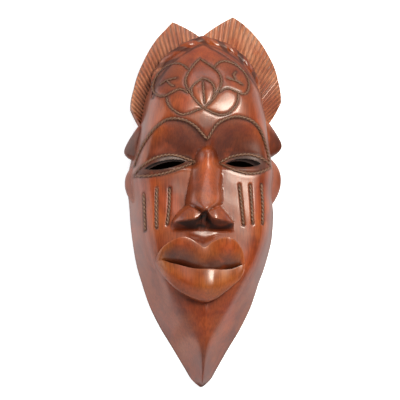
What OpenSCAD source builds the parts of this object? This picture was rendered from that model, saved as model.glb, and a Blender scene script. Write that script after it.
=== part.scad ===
// Carved wooden wall mask: one block of wood, hollowed behind the face, with a
// steel ring hanger let into its back.
//
// Frame: millimetres, +Z up, the wall is the plane Y = 0 and the face looks along -Y.
// The origin is the point of the wall where the hanging nail bears on the ring.

/* [Carving] */
// Height of the carving, from the chin's point to the crest's points
mask_height = 508; // [420:2:610]
// Width of the head across the cheekbones
head_width = 200; // [166:2:240]
// Depth of the head, from the wall to the brow
head_depth = 101; // [90:1:122]
// Rise of the right side over the left at the top of the carving, per unit of width
lean = 0.05; // [0:0.01:0.07]

/* [Hollow] */
// Width of the rim of wood that meets the wall
rim = 14; // [11:1:18]
// Thickness of wood left behind the brow and the cheeks
face_wall = 27; // [24:1:33]
// Height of solid wood left in the chin
chin_solid = 60; // [50:1:75]

/* [Face] */
// Depth that the eye sockets are cut back under the brow
socket_depth = 13; // [6:0.5:15]
// Distance from the middle of the face to the middle of each eye
eye_spacing = 56; // [48:1:60]
// Width of the slit cut through each eye
slit_width = 52; // [40:1:62]
// Height of the slit cut through each eye
slit_height = 11; // [8:0.5:14]
// How far the tip of the nose stands out from the cheeks
nose_out = 39; // [30:1:47]
// Half the width of the nose across its wings
nose_half_width = 41; // [32:1:50]
// How far the lips stand out from the face
lips_out = 18; // [13:1:22]
// Half the width of the lips
lips_half_width = 59; // [46:1:66]

/* [Crest] */
// Thickness of the crest where it leaves the head
crest_root = 26; // [20:1:32]
// Thickness of the crest at its outer edge
crest_edge = 13; // [10:1:17]
// Number of grooves in each half of the crest
crest_grooves = 28; // [18:1:34]
// How much wider the right half of the crest is than the left, as a share
crest_skew = 0.13; // [0:0.01:0.2]
// Depth of a groove
groove_depth = 2.4; // [1:0.2:3]
// Radius of the band of hair in front of the crest
band_radius = 6.5; // [5:0.5:8]

/* [Ears] */
// Distance of the back of the ears from the wall
ear_back = 16; // [12:1:20]
// Thickness of the upper part of an ear
ear_upper_thickness = 22; // [16:1:28]
// Thickness of the lobe of an ear
ear_lobe_thickness = 28; // [20:1:34]

/* [Hanger] */
// Diameter of the ring's wire
wire_d = 2.2; // [1.8:0.1:2.7]
// Clear width inside the ring
ring_clear_width = 16; // [13:0.5:20]
// Clear height inside the ring, over its straight bar
ring_clear_height = 12; // [10:0.5:15]
// Running clearance between the ring's bar and the strap's eye
bar_clearance = 0.06; // [0.03:0.01:0.1]
// Gap between each side of the strap and the ring
strap_side_gap = 1.5; // [1:0.1:2.5]
// Thickness of the strap's steel
strap_sheet = 0.9; // [0.7:0.1:1.1]
// Diameter of a screw's head
screw_head_d = 6.4; // [5.6:0.2:7.6]
// Height of a screw's head
screw_head_h = 1.9; // [1.5:0.1:2.2]
// Diameter of a screw's shank
screw_d = 2.9; // [2.4:0.1:3.5]
// Length of a screw under its head
screw_length = 14; // [10:1:16]
// Clearance around a screw in the strap
screw_clearance = 0.15; // [0.1:0.05:0.3]
// Gap between the wall and the hanger's highest point
wall_gap = 1; // [0.6:0.1:2]
// Room left around the hanger in its recess
recess_room = 2.6; // [2:0.1:4]
// Room left over the ring for the nail's head
nail_room = 10; // [8:1:14]
// Wood left between the recess and the hollow, and over the recess
recess_bridge = 8; // [6:1:12]

/* [Hidden] */
eps = 0.01;

// ---- Scales: the outlines below are drawn for a carving of this size ----
z_scale = mask_height / 508;
x_scale = head_width / 200;
d_scale = head_depth / 101;

// ---- Heights on the carving, measured from the chin's point ----
eye_z = 296 * z_scale;
socket_rise = 60 * z_scale;
socket_fall = 36 * z_scale;
socket_half_width = 46 * x_scale;
bridge_z = 320 * z_scale;
nose_tip_z = 228 * z_scale;
nose_edge_z = 216 * z_scale;
nose_foot_z = 203 * z_scale;
notch_z = 478 * z_scale;

// ---- Hanger, in the part's own frame ----
wire_r = wire_d / 2;
ring_r = ring_clear_width / 2 + wire_r;
eye_r = wire_r + bar_clearance;
eye_outer_r = eye_r + strap_sheet;
strap_width = ring_clear_width - 2 * strap_side_gap;
strap_thickness = 2 * strap_sheet;
hanger_proud = max(2 * eye_outer_r, strap_thickness + screw_head_h);
recess_depth = wall_gap + hanger_proud;
floor_y = -recess_depth;
bar_y = floor_y + eye_outer_r;
ring_height = ring_clear_height + 2 * wire_r;
ring_reach = ring_height + wire_r;
ring_floor_gap = 0.08;
ring_lean = asin((eye_outer_r - wire_r - ring_floor_gap) / ring_height);
bar_z = -(ring_height - wire_r) * cos(ring_lean);
screw_edge = screw_head_d / 2 + 1.6;
upper_screw_z = bar_z - ring_reach - wire_r - screw_head_d / 2;
lower_screw_z = upper_screw_z - screw_head_d - 4;
strap_end_z = lower_screw_z - screw_edge;
recess_half_width = ring_r + wire_r + recess_room;
recess_top = nail_room + wire_d;
recess_bottom = strap_end_z - recess_room;

// Height of the nail over the chin's point, which puts the recess just under the crest's notch
nail_z = notch_z - recess_bridge - recess_top;
hollow_top_z = nail_z + recess_bottom - recess_bridge;
hollow_bottom_z = chin_solid;

// ---- Curves ----
function clamp01(t) = max(0, min(1, t));
function ease(a, b, t) = let (s = clamp01((t - a) / (b - a))) s * s * (3 - 2 * s);
function rise(table, i, c) = (table[i + 1][c] - table[i][c]) / (table[i + 1][0] - table[i][0]);
// Slope of column c at row i, flat where the column turns back
function slope(table, i, c) =
    i == 0 ? rise(table, 0, c) :
    i == len(table) - 1 ? rise(table, i - 1, c) :
    let (a = rise(table, i - 1, c), b = rise(table, i, c)) a * b <= 0 ? 0 : 2 * a * b / (a + b);
// Smooth value of column c of a table, at t in its first column
function curve(table, t, c = 1) =
    let (
        last = len(table) - 2,
        i = max(0, min(last, len([for (row = table) if (row[0] <= t) 1]) - 1)),
        h = table[i + 1][0] - table[i][0],
        s = clamp01((t - table[i][0]) / h),
        a = table[i][c], b = table[i + 1][c],
        ma = slope(table, i, c) * h, mb = slope(table, i + 1, c) * h
    )
    a * (1 + 2 * s) * (1 - s) * (1 - s) + ma * s * (1 - s) * (1 - s)
    + b * s * s * (3 - 2 * s) - mb * s * s * (1 - s);
// Closed smooth loop through points, with a number of steps for each
function loop(points, steps) = [
    for (i = [0 : len(points) - 1], k = [0 : steps - 1])
        let (
            n = len(points), s = k / steps,
            a = points[(i + n - 1) % n], b = points[i], c = points[(i + 1) % n], d = points[(i + 2) % n]
        )
        b + (c - a) * s / 2 + (2 * a - 5 * b + 4 * c - d) * s * s / 2
        + (3 * b - a - 3 * c + d) * s * s * s / 2
];

// Solid through rings of points that all have the same number of points
module loft(rings) {
    n = len(rings[0]);
    m = len(rings);
    polyhedron(
        points = [for (ring = rings) each ring],
        faces = [
            [for (i = [0 : n - 1]) i],
            for (j = [0 : m - 2], i = [0 : n - 1]) each
                let (a = j * n + i, b = j * n + (i + 1) % n) [[a, a + n, b], [b, a + n, b + n]],
            [for (i = [n - 1 : -1 : 0]) (m - 1) * n + i],
        ]
    );
}

// ---- Head ----
// Height, half width, depth, place of the section's shoulder as a share of the half width,
// and how square that shoulder is
HEAD = [
    [0, 2, 26, 0.40, 1.0],
    [5, 6, 33, 0.25, 1.0],
    [13, 11, 39, 0.18, 1.3],
    [27, 19.5, 46, 0.12, 1.6],
    [56, 38, 58, 0.20, 2.2],
    [84, 55, 66, 0.38, 2.6],
    [114, 69.5, 73, 0.57, 2.8],
    [144, 79.5, 78, 0.74, 2.8],
    [166, 86, 80, 0.82, 2.6],
    [194, 91, 82, 0.86, 2.4],
    [223, 94.5, 84, 0.88, 2.3],
    [252, 96.5, 85, 0.91, 2.2],
    [284, 100, 86, 0.93, 2.1],
    [300, 97, 90, 0.95, 2.0],
    [320, 93, 95, 0.98, 1.8],
    [345, 88.5, 100, 1, 1.7],
    [365, 86, 101, 1, 1.7],
    [390, 81, 98, 1, 1.6],
    [412, 74, 90, 1, 1.5],
    [430, 65, 80, 1, 1.4],
    [446, 54, 68, 1, 1.3],
    [458, 42, 57, 1, 1.2],
    [467, 30, 47, 1, 1.2],
    [475, 15, 37, 1, 1.1],
    [479, 4, 30, 1, 1.0],
];
function head_w(z) = curve(HEAD, z / z_scale, 1) * x_scale;
function head_d(z) = curve(HEAD, z / z_scale, 2) * d_scale;
function shoulder(z) = curve(HEAD, z / z_scale, 3);
function squareness(z) = curve(HEAD, z / z_scale, 4);

// Point [x, depth] of a section at u, from -1 on the left rim to 1 on the right rim:
// a conic from the front's middle to the rim, pulled towards the shoulder
function section(u, w, d, p, k, back = 0) =
    let (
        a = pow(abs(u), 1.35), b = 1 - a, mid = 2 * k * a * b, sum = b * b + mid + a * a
    )
    [sign(u) * w * (mid * p + a * a) / sum, (d * (b * b + mid) + back * a * a) / sum];

// ---- Relief: what stands out of, or is cut into, the plain head at x, z ----
function socket(x, z) =
    let (
        dx = (abs(x) - eye_spacing + 7) / socket_half_width,
        dz = (z - eye_z) / (z > eye_z ? socket_rise : socket_fall),
        q = sqrt(dx * dx + dz * dz)
    )
    -socket_depth * (1 - ease(0.45, 1, q));

function eyelid(x, z) =
    let (dx = (abs(x) - eye_spacing) / 34, dz = (z - eye_z) / 15, q = dx * dx + dz * dz)
    3 * (1 - ease(0.3, 1.2, q));

// Height of the nose's ridge, running out from the bridge to the tip and back in underneath
function ridge(z) =
    z > nose_tip_z ? nose_out * pow(clamp01((bridge_z - z) / (bridge_z - nose_tip_z)), 0.8) :
    z > nose_edge_z ? nose_out :
    nose_out * clamp01((z - nose_foot_z) / (nose_edge_z - nose_foot_z));
function nose(x, z) =
    let (
        half = 15 + 10 * clamp01((bridge_z - z) / (bridge_z - nose_tip_z)),
        blade = ridge(z) * pow(max(0, 1 - pow(abs(x) / half, 2.6)), 0.7),
        wing_top = nose_tip_z + 12 - 26 * pow(clamp01(abs(x) / nose_half_width), 2),
        wing_out = 0.62 * nose_out * (1 - 0.5 * pow(clamp01(abs(x) / nose_half_width), 2)),
        wing = wing_out
            * (1 - ease(wing_top - 7, wing_top + 4, z))
            * clamp01((z - nose_foot_z) / (nose_edge_z - 5 - nose_foot_z))
            * (1 - ease(0.88, 1.04, abs(x) / nose_half_width))
    )
    max(blade, wing);

// Edges of the lips as heights over x, for lips of half width 59
LIPS = [
    // x, top edge, line of the mouth, bottom edge
    [0, 180, 150, 105],
    [12, 186, 150, 109],
    [27, 191, 151, 119],
    [40, 188, 154, 129],
    [52, 178, 158, 141],
    [59, 160, 159, 155],
];
function lips(x, z) =
    let (
        lx = abs(x) * 59 / lips_half_width,
        lz = z / z_scale,
        top = curve(LIPS, lx, 1), line = curve(LIPS, lx, 2), bottom = curve(LIPS, lx, 3),
        inside = min(top - lz, lz - bottom, 59 - lx),
        upper = clamp01((lz - line) / max(1, top - line)),
        lower = clamp01((line - lz) / max(1, line - bottom)),
        fade = 1 - 0.35 * pow(clamp01(lx / 59), 2),
        swell = lz > line ? 0.62 + 0.38 * sin(150 * upper) : 0.62 + 0.38 * pow(sin(170 * lower), 0.7)
    )
    lips_out * fade * swell * ease(-3, 5, inside);

function relief(x, z) = socket(x, z) + eyelid(x, z) + nose(x, z) + lips(x, z);

// The carving's heights rise a little towards the right, more so towards the top
function leaning(x, z) = z + lean * x * ease(200 * z_scale, 330 * z_scale, z);

head_columns = 46;
// Rows close together over the face, and further apart over the chin and the crown
head_rows = [
    0, 5,
    each [13 : 8 : 93],
    each [99 : 4.5 : 364.5],
    each [371 : 7.2 : 472],
    479,
];
function head_ring(z) = [
    for (i = [0 : head_columns])
        let (
            u = 2 * i / head_columns - 1,
            p = section(u, head_w(z), head_d(z), shoulder(z), squareness(z)),
            d = p[1] + (abs(u) < 1 ? relief(p[0], z) : 0)
        )
        [p[0], -max(0, d), leaning(p[0], z)]
];
module head() {
    loft([for (row = head_rows) head_ring(row * z_scale)]);
}

// ---- Hollow ----
hollow_columns = 16;
hollow_rows = 20;
function hollow_ring(z, share) = [
    for (i = [0 : hollow_columns])
        let (
            u = 2 * i / hollow_columns - 1,
            p = section(
                u,
                (head_w(z) - rim) * share,
                (head_d(z) - face_wall) * share,
                shoulder(z) * 0.9, 1.1, -1
            )
        )
        [p[0], -p[1], leaning(p[0], z)]
];
module hollow() {
    half = (hollow_top_z - hollow_bottom_z) / 2;
    middle = hollow_bottom_z + half;
    loft([
        for (j = [0 : hollow_rows])
            let (s = -cos(180 * j / hollow_rows), share = pow(1 - pow(abs(s), 5), 0.4) + 0.02)
            hollow_ring(middle + half * s, share)
    ]);
}
module eye_slit(side) {
    bow = (slit_width * slit_width / 4 + slit_height * slit_height / 4) / slit_height;
    translate([side * eye_spacing, 0, leaning(side * eye_spacing, eye_z)])
        rotate([90, 0, 0])
            linear_extrude(height = head_depth + nose_out)
                intersection_for(up = [-1, 1])
                    translate([0, up * (bow - slit_height / 2)])
                        circle(r = bow, $fn = 180);
}

// ---- Crest ----
// The grooves fan out from a point inside the head
fan_z = 288 * z_scale;
fan_angle = 52.5;
crest_inner = 84 * z_scale;
// Distance of the crest's outer edge from that point, against the angle from upright
CREST = [
    [0, 193], [10.8, 220], [14, 211.3], [18.2, 202], [22.7, 192], [27.8, 180], [32.9, 169],
    [38, 157.4], [43.1, 148], [46.7, 140], [51, 116], [52.5, 106],
];
function crest_point(side, angle, r, d) =
    let (x = (side + crest_skew / 2) * r * sin(angle) * x_scale, z = fan_z + r * cos(angle))
    [x, -d, leaning(x, z)];
function crest_ring(side, angle, cut) =
    let (outer = lookup(angle, CREST) * z_scale) [
        crest_point(side, angle, crest_inner, 0),
        crest_point(side, angle, crest_inner, crest_root + 6 - cut),
        crest_point(side, angle, outer, crest_edge - cut),
        crest_point(side, angle, outer, 0),
    ];
module crest_half(side) {
    steps = 2 * crest_grooves;
    rings = [
        for (i = [0 : steps])
            let (angle = -0.4 + (fan_angle + 0.4) * i / steps)
            crest_ring(side, angle, i % 2 == 1 ? groove_depth : 0)
    ];
    loft(side < 0 ? rings : [for (i = [steps : -1 : 0]) rings[i]]);
}

// ---- Band of hair rolled along the edge of the crown, between the brow's panel and the crest ----
band_sides = 8;
band_steps = 22;
module hair_band(side) {
    low = 338 * z_scale;
    high = 474 * z_scale;
    rings = [
        for (j = [0 : band_steps])
            let (
                z = low + (high - low) * j / band_steps,
                r = band_radius * (0.35 + 0.65 * ease(0, 6, j)) * (j % 3 == 2 ? 0.86 : 1),
                x = head_w(z) - 0.55 * band_radius,
                d = crest_root + 4
            ) [
                for (i = [0 : band_sides - 1])
                    let (
                        a = 360 * i / band_sides,
                        px = max(side > 0 ? 0.2 : 0.1, x + r * cos(a))
                    )
                    [side * px, -d - 1.2 * r * sin(a), leaning(side * x, z)]
            ]
    ];
    loft(side > 0 ? [for (ring = rings) [for (i = [band_sides - 1 : -1 : 0]) ring[i]]] : rings);
}

// ---- Ears: outlines in x and z for a head of half width 100 ----
EAR_UPPER = [[74, 360], [86, 357], [97, 344], [105, 331], [106, 320], [98, 311], [84, 309], [74, 330]];
EAR_LOBE = [[78, 312], [92, 309], [101, 299], [107, 285], [107, 270], [100, 254], [88, 246], [80, 270]];
module ear_piece(outline, side, thickness) {
    points = [for (p = loop(outline, 3)) let (x = side * p[0] * x_scale) [x, leaning(x, p[1] * z_scale)]];
    translate([0, -ear_back, 0])
        rotate([90, 0, 0])
            linear_extrude(height = thickness)
                polygon(points);
}
module ear(side) {
    ear_piece(EAR_UPPER, side, ear_upper_thickness);
    ear_piece(EAR_LOBE, side, ear_lobe_thickness);
}

// ---- The carved block ----
module wood() {
    difference() {
        union() {
            head();
            for (side = [-1, 1]) {
                crest_half(side);
                hair_band(side);
                ear(side);
            }
        }
        hollow();
        for (side = [-1, 1]) eye_slit(side);
    }
}
module hanger_recess() {
    translate([-recess_half_width, floor_y, recess_bottom])
        cube([2 * recess_half_width, recess_depth + 1, recess_top - recess_bottom]);
}
module pilot_holes() {
    for (z = [upper_screw_z, lower_screw_z])
        translate([0, floor_y + eps, z])
            rotate([90, 0, 0])
                cylinder(d = screw_d, h = screw_length - strap_thickness + eps, $fn = 32);
}
module carved_mask() {
    color("sienna")
        difference() {
            translate([0, 0, -nail_z])
                resize([0, 0, 0]) // keeps the carved surface as one mesh
                    wood();
            hanger_recess();
            pilot_holes();
        }
}

// ---- Hanger ----
// A strip of steel folded round the ring's bar, with both leaves lying together
module hanger_strap() {
    color("silver")
        difference() {
            translate([-strap_width / 2, 0, 0]) {
                translate([0, bar_y, bar_z])
                    rotate([0, 90, 0])
                        cylinder(r = eye_outer_r, h = strap_width, $fn = 64);
                translate([0, floor_y, strap_end_z])
                    cube([strap_width, strap_thickness, bar_z - strap_end_z]);
            }
            translate([-strap_width, bar_y, bar_z])
                rotate([0, 90, 0])
                    cylinder(r = eye_r, h = 2 * strap_width, $fn = 64);
            for (z = [upper_screw_z, lower_screw_z])
                translate([0, floor_y - 1, z])
                    rotate([-90, 0, 0])
                        cylinder(d = screw_d + 2 * screw_clearance, h = strap_thickness + 2, $fn = 48);
        }
}

// A D of round wire, drawn upright with its bar on the X axis
module d_ring() {
    leg = ring_height - ring_r;
    rotate([0, 90, 0])
        cylinder(r = wire_r, h = 2 * ring_r, center = true, $fn = 48);
    for (side = [-1, 1]) {
        translate([side * ring_r, 0, 0]) {
            sphere(r = wire_r, $fn = 48);
            cylinder(r = wire_r, h = leg, $fn = 48);
        }
    }
    translate([0, 0, leg])
        rotate([90, 0, 0])
            rotate_extrude(angle = 180, $fn = 96)
                translate([ring_r, 0])
                    circle(r = wire_r, $fn = 48);
}
module hanger_ring() {
    color("silver")
        translate([0, bar_y, bar_z])
            rotate([ring_lean, 0, 0])
                d_ring();
}

// A round-headed wood screw with a cross cut in its head, standing on the strap
module screw(z) {
    cross_width = 0.9;
    cross_length = 3.6;
    cross_depth = 1.1;
    head_y = floor_y + strap_thickness;
    color("silver")
        translate([0, head_y, z])
            rotate([-90, 0, 0])
                difference() {
                    union() {
                        cylinder(d1 = screw_head_d, d2 = 0.7 * screw_head_d, h = screw_head_h, $fn = 64);
                        translate([0, 0, -screw_length + 3])
                            cylinder(d = screw_d, h = screw_length - 3 + eps, $fn = 48);
                        translate([0, 0, -screw_length])
                            cylinder(d1 = 0.4, d2 = screw_d, h = 3 + eps, $fn = 48);
                    }
                    for (turn = [0, 90])
                        rotate([0, 0, turn])
                            translate([-cross_length / 2, -cross_width / 2, screw_head_h - cross_depth])
                                cube([cross_length, cross_width, cross_depth + 1]);
                }
}
module hanger_screw_upper() {
    screw(upper_screw_z);
}
module hanger_screw_lower() {
    screw(lower_screw_z);
}

carved_mask();
hanger_strap();
hanger_ring();
hanger_screw_upper();
hanger_screw_lower();
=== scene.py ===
import math

import bpy
import numpy as np
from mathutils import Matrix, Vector


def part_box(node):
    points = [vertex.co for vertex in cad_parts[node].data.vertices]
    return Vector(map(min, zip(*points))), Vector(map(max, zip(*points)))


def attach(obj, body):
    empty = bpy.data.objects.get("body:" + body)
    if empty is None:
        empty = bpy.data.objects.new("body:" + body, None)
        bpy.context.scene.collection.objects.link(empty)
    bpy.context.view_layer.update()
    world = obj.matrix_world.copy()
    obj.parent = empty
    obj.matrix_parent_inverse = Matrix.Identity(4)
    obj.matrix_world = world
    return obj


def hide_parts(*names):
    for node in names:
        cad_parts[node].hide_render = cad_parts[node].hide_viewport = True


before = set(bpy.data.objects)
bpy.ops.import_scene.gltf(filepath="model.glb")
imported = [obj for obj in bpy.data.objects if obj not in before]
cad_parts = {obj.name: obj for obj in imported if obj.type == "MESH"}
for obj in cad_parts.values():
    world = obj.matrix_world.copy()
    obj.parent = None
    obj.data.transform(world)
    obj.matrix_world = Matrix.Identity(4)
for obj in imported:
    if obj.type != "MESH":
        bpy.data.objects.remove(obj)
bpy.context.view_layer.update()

# ---------------------------------------------------------------------------
# The head. A tall shield-shaped block of close-grained red hardwood, cut with
# gouges to a long narrow face, hollowed from behind, and cut through at the
# eyes. All of the carving is this one block.
# ---------------------------------------------------------------------------
MM = 0.001
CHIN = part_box("carved_mask")[0][2]

# height over the chin's point, half width, depth, shoulder as a share of the half width, squareness
HEAD = [
    (2.5, 1, 24, 0.40, 1.0),
    (5, 4.5, 29, 0.30, 1.0),
    (9, 9, 34, 0.20, 1.1),
    (14, 13.5, 38.5, 0.15, 1.4),
    (27, 21, 46, 0.12, 2.0),
    (56, 38, 58, 0.20, 3.0),
    (84, 55, 66, 0.38, 3.6),
    (114, 69.5, 73, 0.57, 4.0),
    (144, 79.5, 78, 0.74, 4.0),
    (166, 86, 80, 0.82, 3.8),
    (194, 91, 82, 0.86, 3.5),
    (223, 94.5, 84, 0.88, 3.2),
    (252, 96.5, 85, 0.90, 3.0),
    (284, 100, 86, 0.92, 2.8),
    (300, 97, 90, 0.94, 2.6),
    (320, 93, 95, 0.97, 2.2),
    (345, 88.5, 100, 1, 1.9),
    (365, 86, 101, 1, 1.8),
    (390, 81, 98, 1, 1.7),
    (412, 74, 90, 1, 1.5),
    (430, 65, 80, 1, 1.4),
    (446, 54, 68, 1, 1.3),
    (458, 42, 57, 1, 1.2),
    (465.5, 30, 47, 1, 1.2),
    (471.5, 15, 37, 1, 1.1),
    (475, 4, 30, 1, 1.0),
]

# height, and how much wider the left and the right side are there than the table says
SIDES = [(0, -1, 2), (60, 0, 1), (140, 0, 0), (170, 0, 2), (205, 0, 5), (235, 0, 4.5), (262, 0, 1), (300, 0, 0),
         (340, -2, 0), (365, -3.5, 0), (395, -3.5, 0), (413, -4.5, 0), (446, -5, 0), (458, -3.5, 0), (479, 0, 0)]


def ease(low, high, t):
    s = np.clip((t - low) / (high - low), 0, 1)
    return s * s * (3 - 2 * s)


def curve(table, t, column=1):
    """Smooth value of a column of a table, at t in its first column."""
    rows = np.array(table, float)
    at, value = rows[:, 0], rows[:, column]
    step = np.diff(at)
    rise = np.diff(value) / step
    flat = np.zeros(len(at))
    same = rise[1:] * rise[:-1] > 0
    flat[1:-1][same] = 2 * rise[1:][same] * rise[:-1][same] / (rise[1:] + rise[:-1])[same]
    flat[0], flat[-1] = rise[0], rise[-1]
    t = np.clip(np.asarray(t, float), at[0], at[-1])
    i = np.clip(np.searchsorted(at, t, side="right") - 1, 0, len(step) - 1)
    s = (t - at[i]) / step[i]
    return (
        value[i] * (1 + 2 * s) * (1 - s) ** 2 + flat[i] * step[i] * s * (1 - s) ** 2
        + value[i + 1] * s * s * (3 - 2 * s) - flat[i + 1] * step[i] * s * s * (1 - s)
    )


def smooth_path(points, spacing, closed=False):
    """Points a spacing apart along one smooth curve through the given points."""
    p = np.array(points, float)
    if closed:
        p = np.vstack([p[-1:], p, p[:2]])
    else:
        p = np.vstack([2 * p[:1] - p[1:2], p, 2 * p[-1:] - p[-2:-1]])
    fine = []
    for a, b, c, d in zip(p[:-3], p[1:-2], p[2:-1], p[3:]):
        s = np.linspace(0, 1, 40, endpoint=False)[:, None]
        fine.append(b + (c - a) * s / 2 + (2 * a - 5 * b + 4 * c - d) * s * s / 2
                    + (3 * b - a - 3 * c + d) * s ** 3 / 2)
    fine = np.vstack(fine + [p[-2:-1]])
    length = np.concatenate([[0], np.cumsum(np.linalg.norm(np.diff(fine, axis=0), axis=1))])
    count = max(2, int(round(length[-1] / spacing)))
    at = np.linspace(0, length[-1], count + 1)
    return np.stack([np.interp(at, length, fine[:, k]) for k in range(p.shape[1])], axis=1)


# Borders of twisted rope cut round the brows, the eyes and the leaf ornament, as x and height
BROW_LEFT = [(0, 327), (6, 333.5), (15, 343), (27, 350.5), (40, 354), (54, 353), (65, 346),
             (74, 337), (82, 325), (88, 312), (93, 296)]
BROW_RIGHT = [(0, 327), (2.5, 329), (7, 337), (14, 347), (25, 354), (38, 358), (51, 357),
              (63, 352.5), (72, 344.5), (79.5, 331), (85, 315), (88.5, 298.5)]
BROWS = {
    "brow_left": [(-x, z) for x, z in BROW_LEFT],
    "brow_right": BROW_RIGHT,
}
EYES = {
    "left_upper": [(-93, 284), (-84.5, 293), (-73, 300.5), (-61, 305.5), (-48.5, 307.5), (-35.5, 306),
                   (-24, 302), (-14, 298.5)],
    "left_lower": [(-93, 281), (-81, 278.5), (-67, 279), (-53, 282), (-38.5, 287.5), (-27, 292.5), (-14, 297.5)],
    "right_upper": [(20, 298.5), (33, 305.5), (44.5, 308.5), (57.5, 309.5), (70.5, 307), (82, 302), (90, 296.5)],
    "right_lower": [(20, 296.5), (33, 289), (44.5, 285), (56, 283), (69, 284), (80.5, 288.5), (90, 295)],
}
LEAVES = {
    "leaf_left": [(-7, 440), (-15.5, 431), (-23, 420), (-28, 409.5), (-27.5, 399), (-22, 388.5), (-14.5, 378),
                  (-5, 368)],
    "leaf_right": [(-7, 440), (1, 433.5), (9.5, 427), (16.5, 419.5), (20, 411), (19.5, 402), (15, 391.5),
                   (7.5, 380), (-5, 368)],
    "bud_left": [(-5.5, 410), (-12, 405.5), (-18, 400), (-21, 393), (-19, 385.5)],
    "bud_right": [(-5.5, 410), (1, 408), (7.5, 403), (10.5, 395), (9.5, 387.5), (7.5, 382)],
    "bud_rib": [(-5, 406), (-4.5, 390), (-3.5, 375)],
    "lobe_left": [(-23.5, 423.5), (-30, 430.5), (-38, 434), (-48.5, 433), (-57.5, 426.5), (-65, 417), (-69, 405.5),
                  (-68.5, 395), (-64, 388), (-56, 386), (-47, 390.5), (-38, 394.5), (-31, 393), (-25.5, 389)],
    "lobe_right": [(11.5, 427), (18, 434), (27, 437), (37, 434.5), (46, 429.5), (53.5, 421.5), (58, 411),
                   (58, 400.5), (55, 392.5), (49, 389.5), (40, 392.5), (31, 396), (24, 395.5), (17, 391)],
    "petal_left": [(-53.5, 384), (-53, 378), (-50, 371), (-43, 364), (-34, 359.5), (-25, 361), (-16, 364.5),
                   (-6, 368.5)],
    "petal_right": [(42.5, 390), (42.5, 384), (41, 377), (35.5, 368), (28, 361.5), (19.5, 359.5), (10.5, 361),
                    (-4, 368)],
    "sprig_left": [(-61, 404), (-52, 409), (-40, 411.5)],
    "sprig_left_vein": [(-52, 409), (-48, 402.5), (-44, 399.5)],
    "sprig_right": [(49, 403), (40, 408), (28, 411)],
    "sprig_right_vein": [(40, 408), (37.5, 416.5), (41, 421.5)],
}
# Rows of slanted cuts down the cheeks, three on each side
SCARS = {
    "scar_left_outer": [(-82.5, 256), (-81.5, 232), (-80, 206)],
    "scar_left_middle": [(-66, 262), (-66.5, 235), (-66, 208)],
    "scar_left_inner": [(-49, 261), (-49.5, 236), (-52, 212)],
    "scar_right_inner": [(45, 267), (48, 240), (51, 213)],
    "scar_right_middle": [(60, 267), (62, 240), (63.5, 215)],
    "scar_right_outer": [(75.5, 269), (77.5, 242), (77.5, 216)],
}


def from_lines(x, z, groups):
    """Distance of each point from the nearest of the lines."""
    nearest = np.full(x.shape, 1e3)
    for points in groups:
        line = smooth_path(points, 1.2)
        near = ((x > line[:, 0].min() - 12) & (x < line[:, 0].max() + 12)
                & (z > line[:, 1].min() - 12) & (z < line[:, 1].max() + 12))
        px, pz = x[near], z[near]
        gap = np.min(np.hypot(px[:, None] - line[None, :, 0], pz[:, None] - line[None, :, 1]), axis=1)
        nearest[near] = np.minimum(nearest[near], gap)
    return nearest


def sockets(x, z):
    brow = np.where(x < 0, curve(BROW_LEFT, -x), curve(BROW_RIGHT, x))
    under = np.maximum(brow - z, 0)
    reach = curve([(0, 12), (14, 16), (32, 17), (52, 14), (70, 9), (84, 4), (93, 0)], np.abs(x))
    return -reach * (1 - 0.3 * np.exp(-under / 2.2) - 0.7 * np.exp(-under / 15)) * ease(286, 300, z)


# Each eyelid: its middle's x and height, half its length, and how much its line rises per unit of x
EYELIDS = [(-54, 293, 40, 0.19), (56, 297, 35, 0.0)]


def eyelids(x, z):
    out = 0
    for middle, level, half, tilt in EYELIDS:
        across = (x - middle) / half
        up = (z - level - tilt * (x - middle)) / 15
        out = out + 2.2 * np.maximum(0, 1 - across ** 2 - up ** 2) ** 0.8
    return out


# The under edge of the nose, level below the wings and rising to a point under the tip
UNDER_NOSE = [(0, 228), (3, 227), (6, 222.5), (10, 218.5), (14, 217), (38, 214.5), (60, 214)]


def nose(x, z, ground):
    middle = curve([(200, -4), (228, -4), (250, -2), (313, 1.5), (330, 1.5)], z)
    a = np.abs(x - middle)
    under = curve(UNDER_NOSE, a)
    level = np.maximum(z, under)
    half = curve([(225, 3), (228, 7), (231, 13), (235, 19.5), (239, 24), (244, 25), (256, 24), (275, 22),
                  (291, 19.5), (303, 16), (309, 14), (313, 12), (315.5, 9.5), (317.5, 5), (319, 2)], level)
    top = curve([(224, 37), (228, 40), (231, 39.5), (236, 36.5), (250, 30), (270, 20.5), (290, 11.5), (303, 5),
                 (309, 2), (313, -1), (315.5, -4), (317.5, -11), (319, -22)], level)
    blunt = curve([(228, 3.2), (250, 3.4), (266, 2.3), (282, 1.7), (300, 1.6), (315, 2)], level)
    ridge = (top - ground) * np.maximum(0, 1 - np.clip(a / half, 0, 1) ** blunt) ** 0.7
    ridge = np.where(top > ground, ridge, 0)
    # the wings, full and round in front and cut square underneath
    upper = curve([(0, 246), (12, 247), (18, 243.5), (24, 238), (31, 230.5), (38, 222), (42, 214.5)], a)
    out = curve([(0, 29), (8, 30), (14, 30.5), (22, 28), (31, 23.5), (37, 17.5), (40.5, 11), (42, 0), (60, 0)], a)
    t = np.clip((upper - level) / np.maximum(upper - 212, 1), 0, 1)
    wings = out * (1 - (1 - t) ** 2) ** 0.5
    crease = 1 - 0.07 * np.exp(-((a - half) / 1.8) ** 2) * ease(228, 232, level) * (1 - ease(242, 248, level))
    body = np.maximum(ridge, wings) * crease
    shelf = np.clip((z - 203.5) / (under - 203.5), 0, 1)
    # the notch below the tip, cut well back between the wings
    notch = 0.45 * (1 - ease(4, 14, a)) * (1 - ease(-4, 0, z - under))
    return ground + body * shelf * (1 - notch)


def philtrum(x, z):
    a = np.abs(x + 3)
    edge = 186 + 0.42 * a
    return 2.0 * ease(0, 9, z - edge) * (1 - ease(12, 28, a)) * (1 - ease(196, 208, z))


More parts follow.
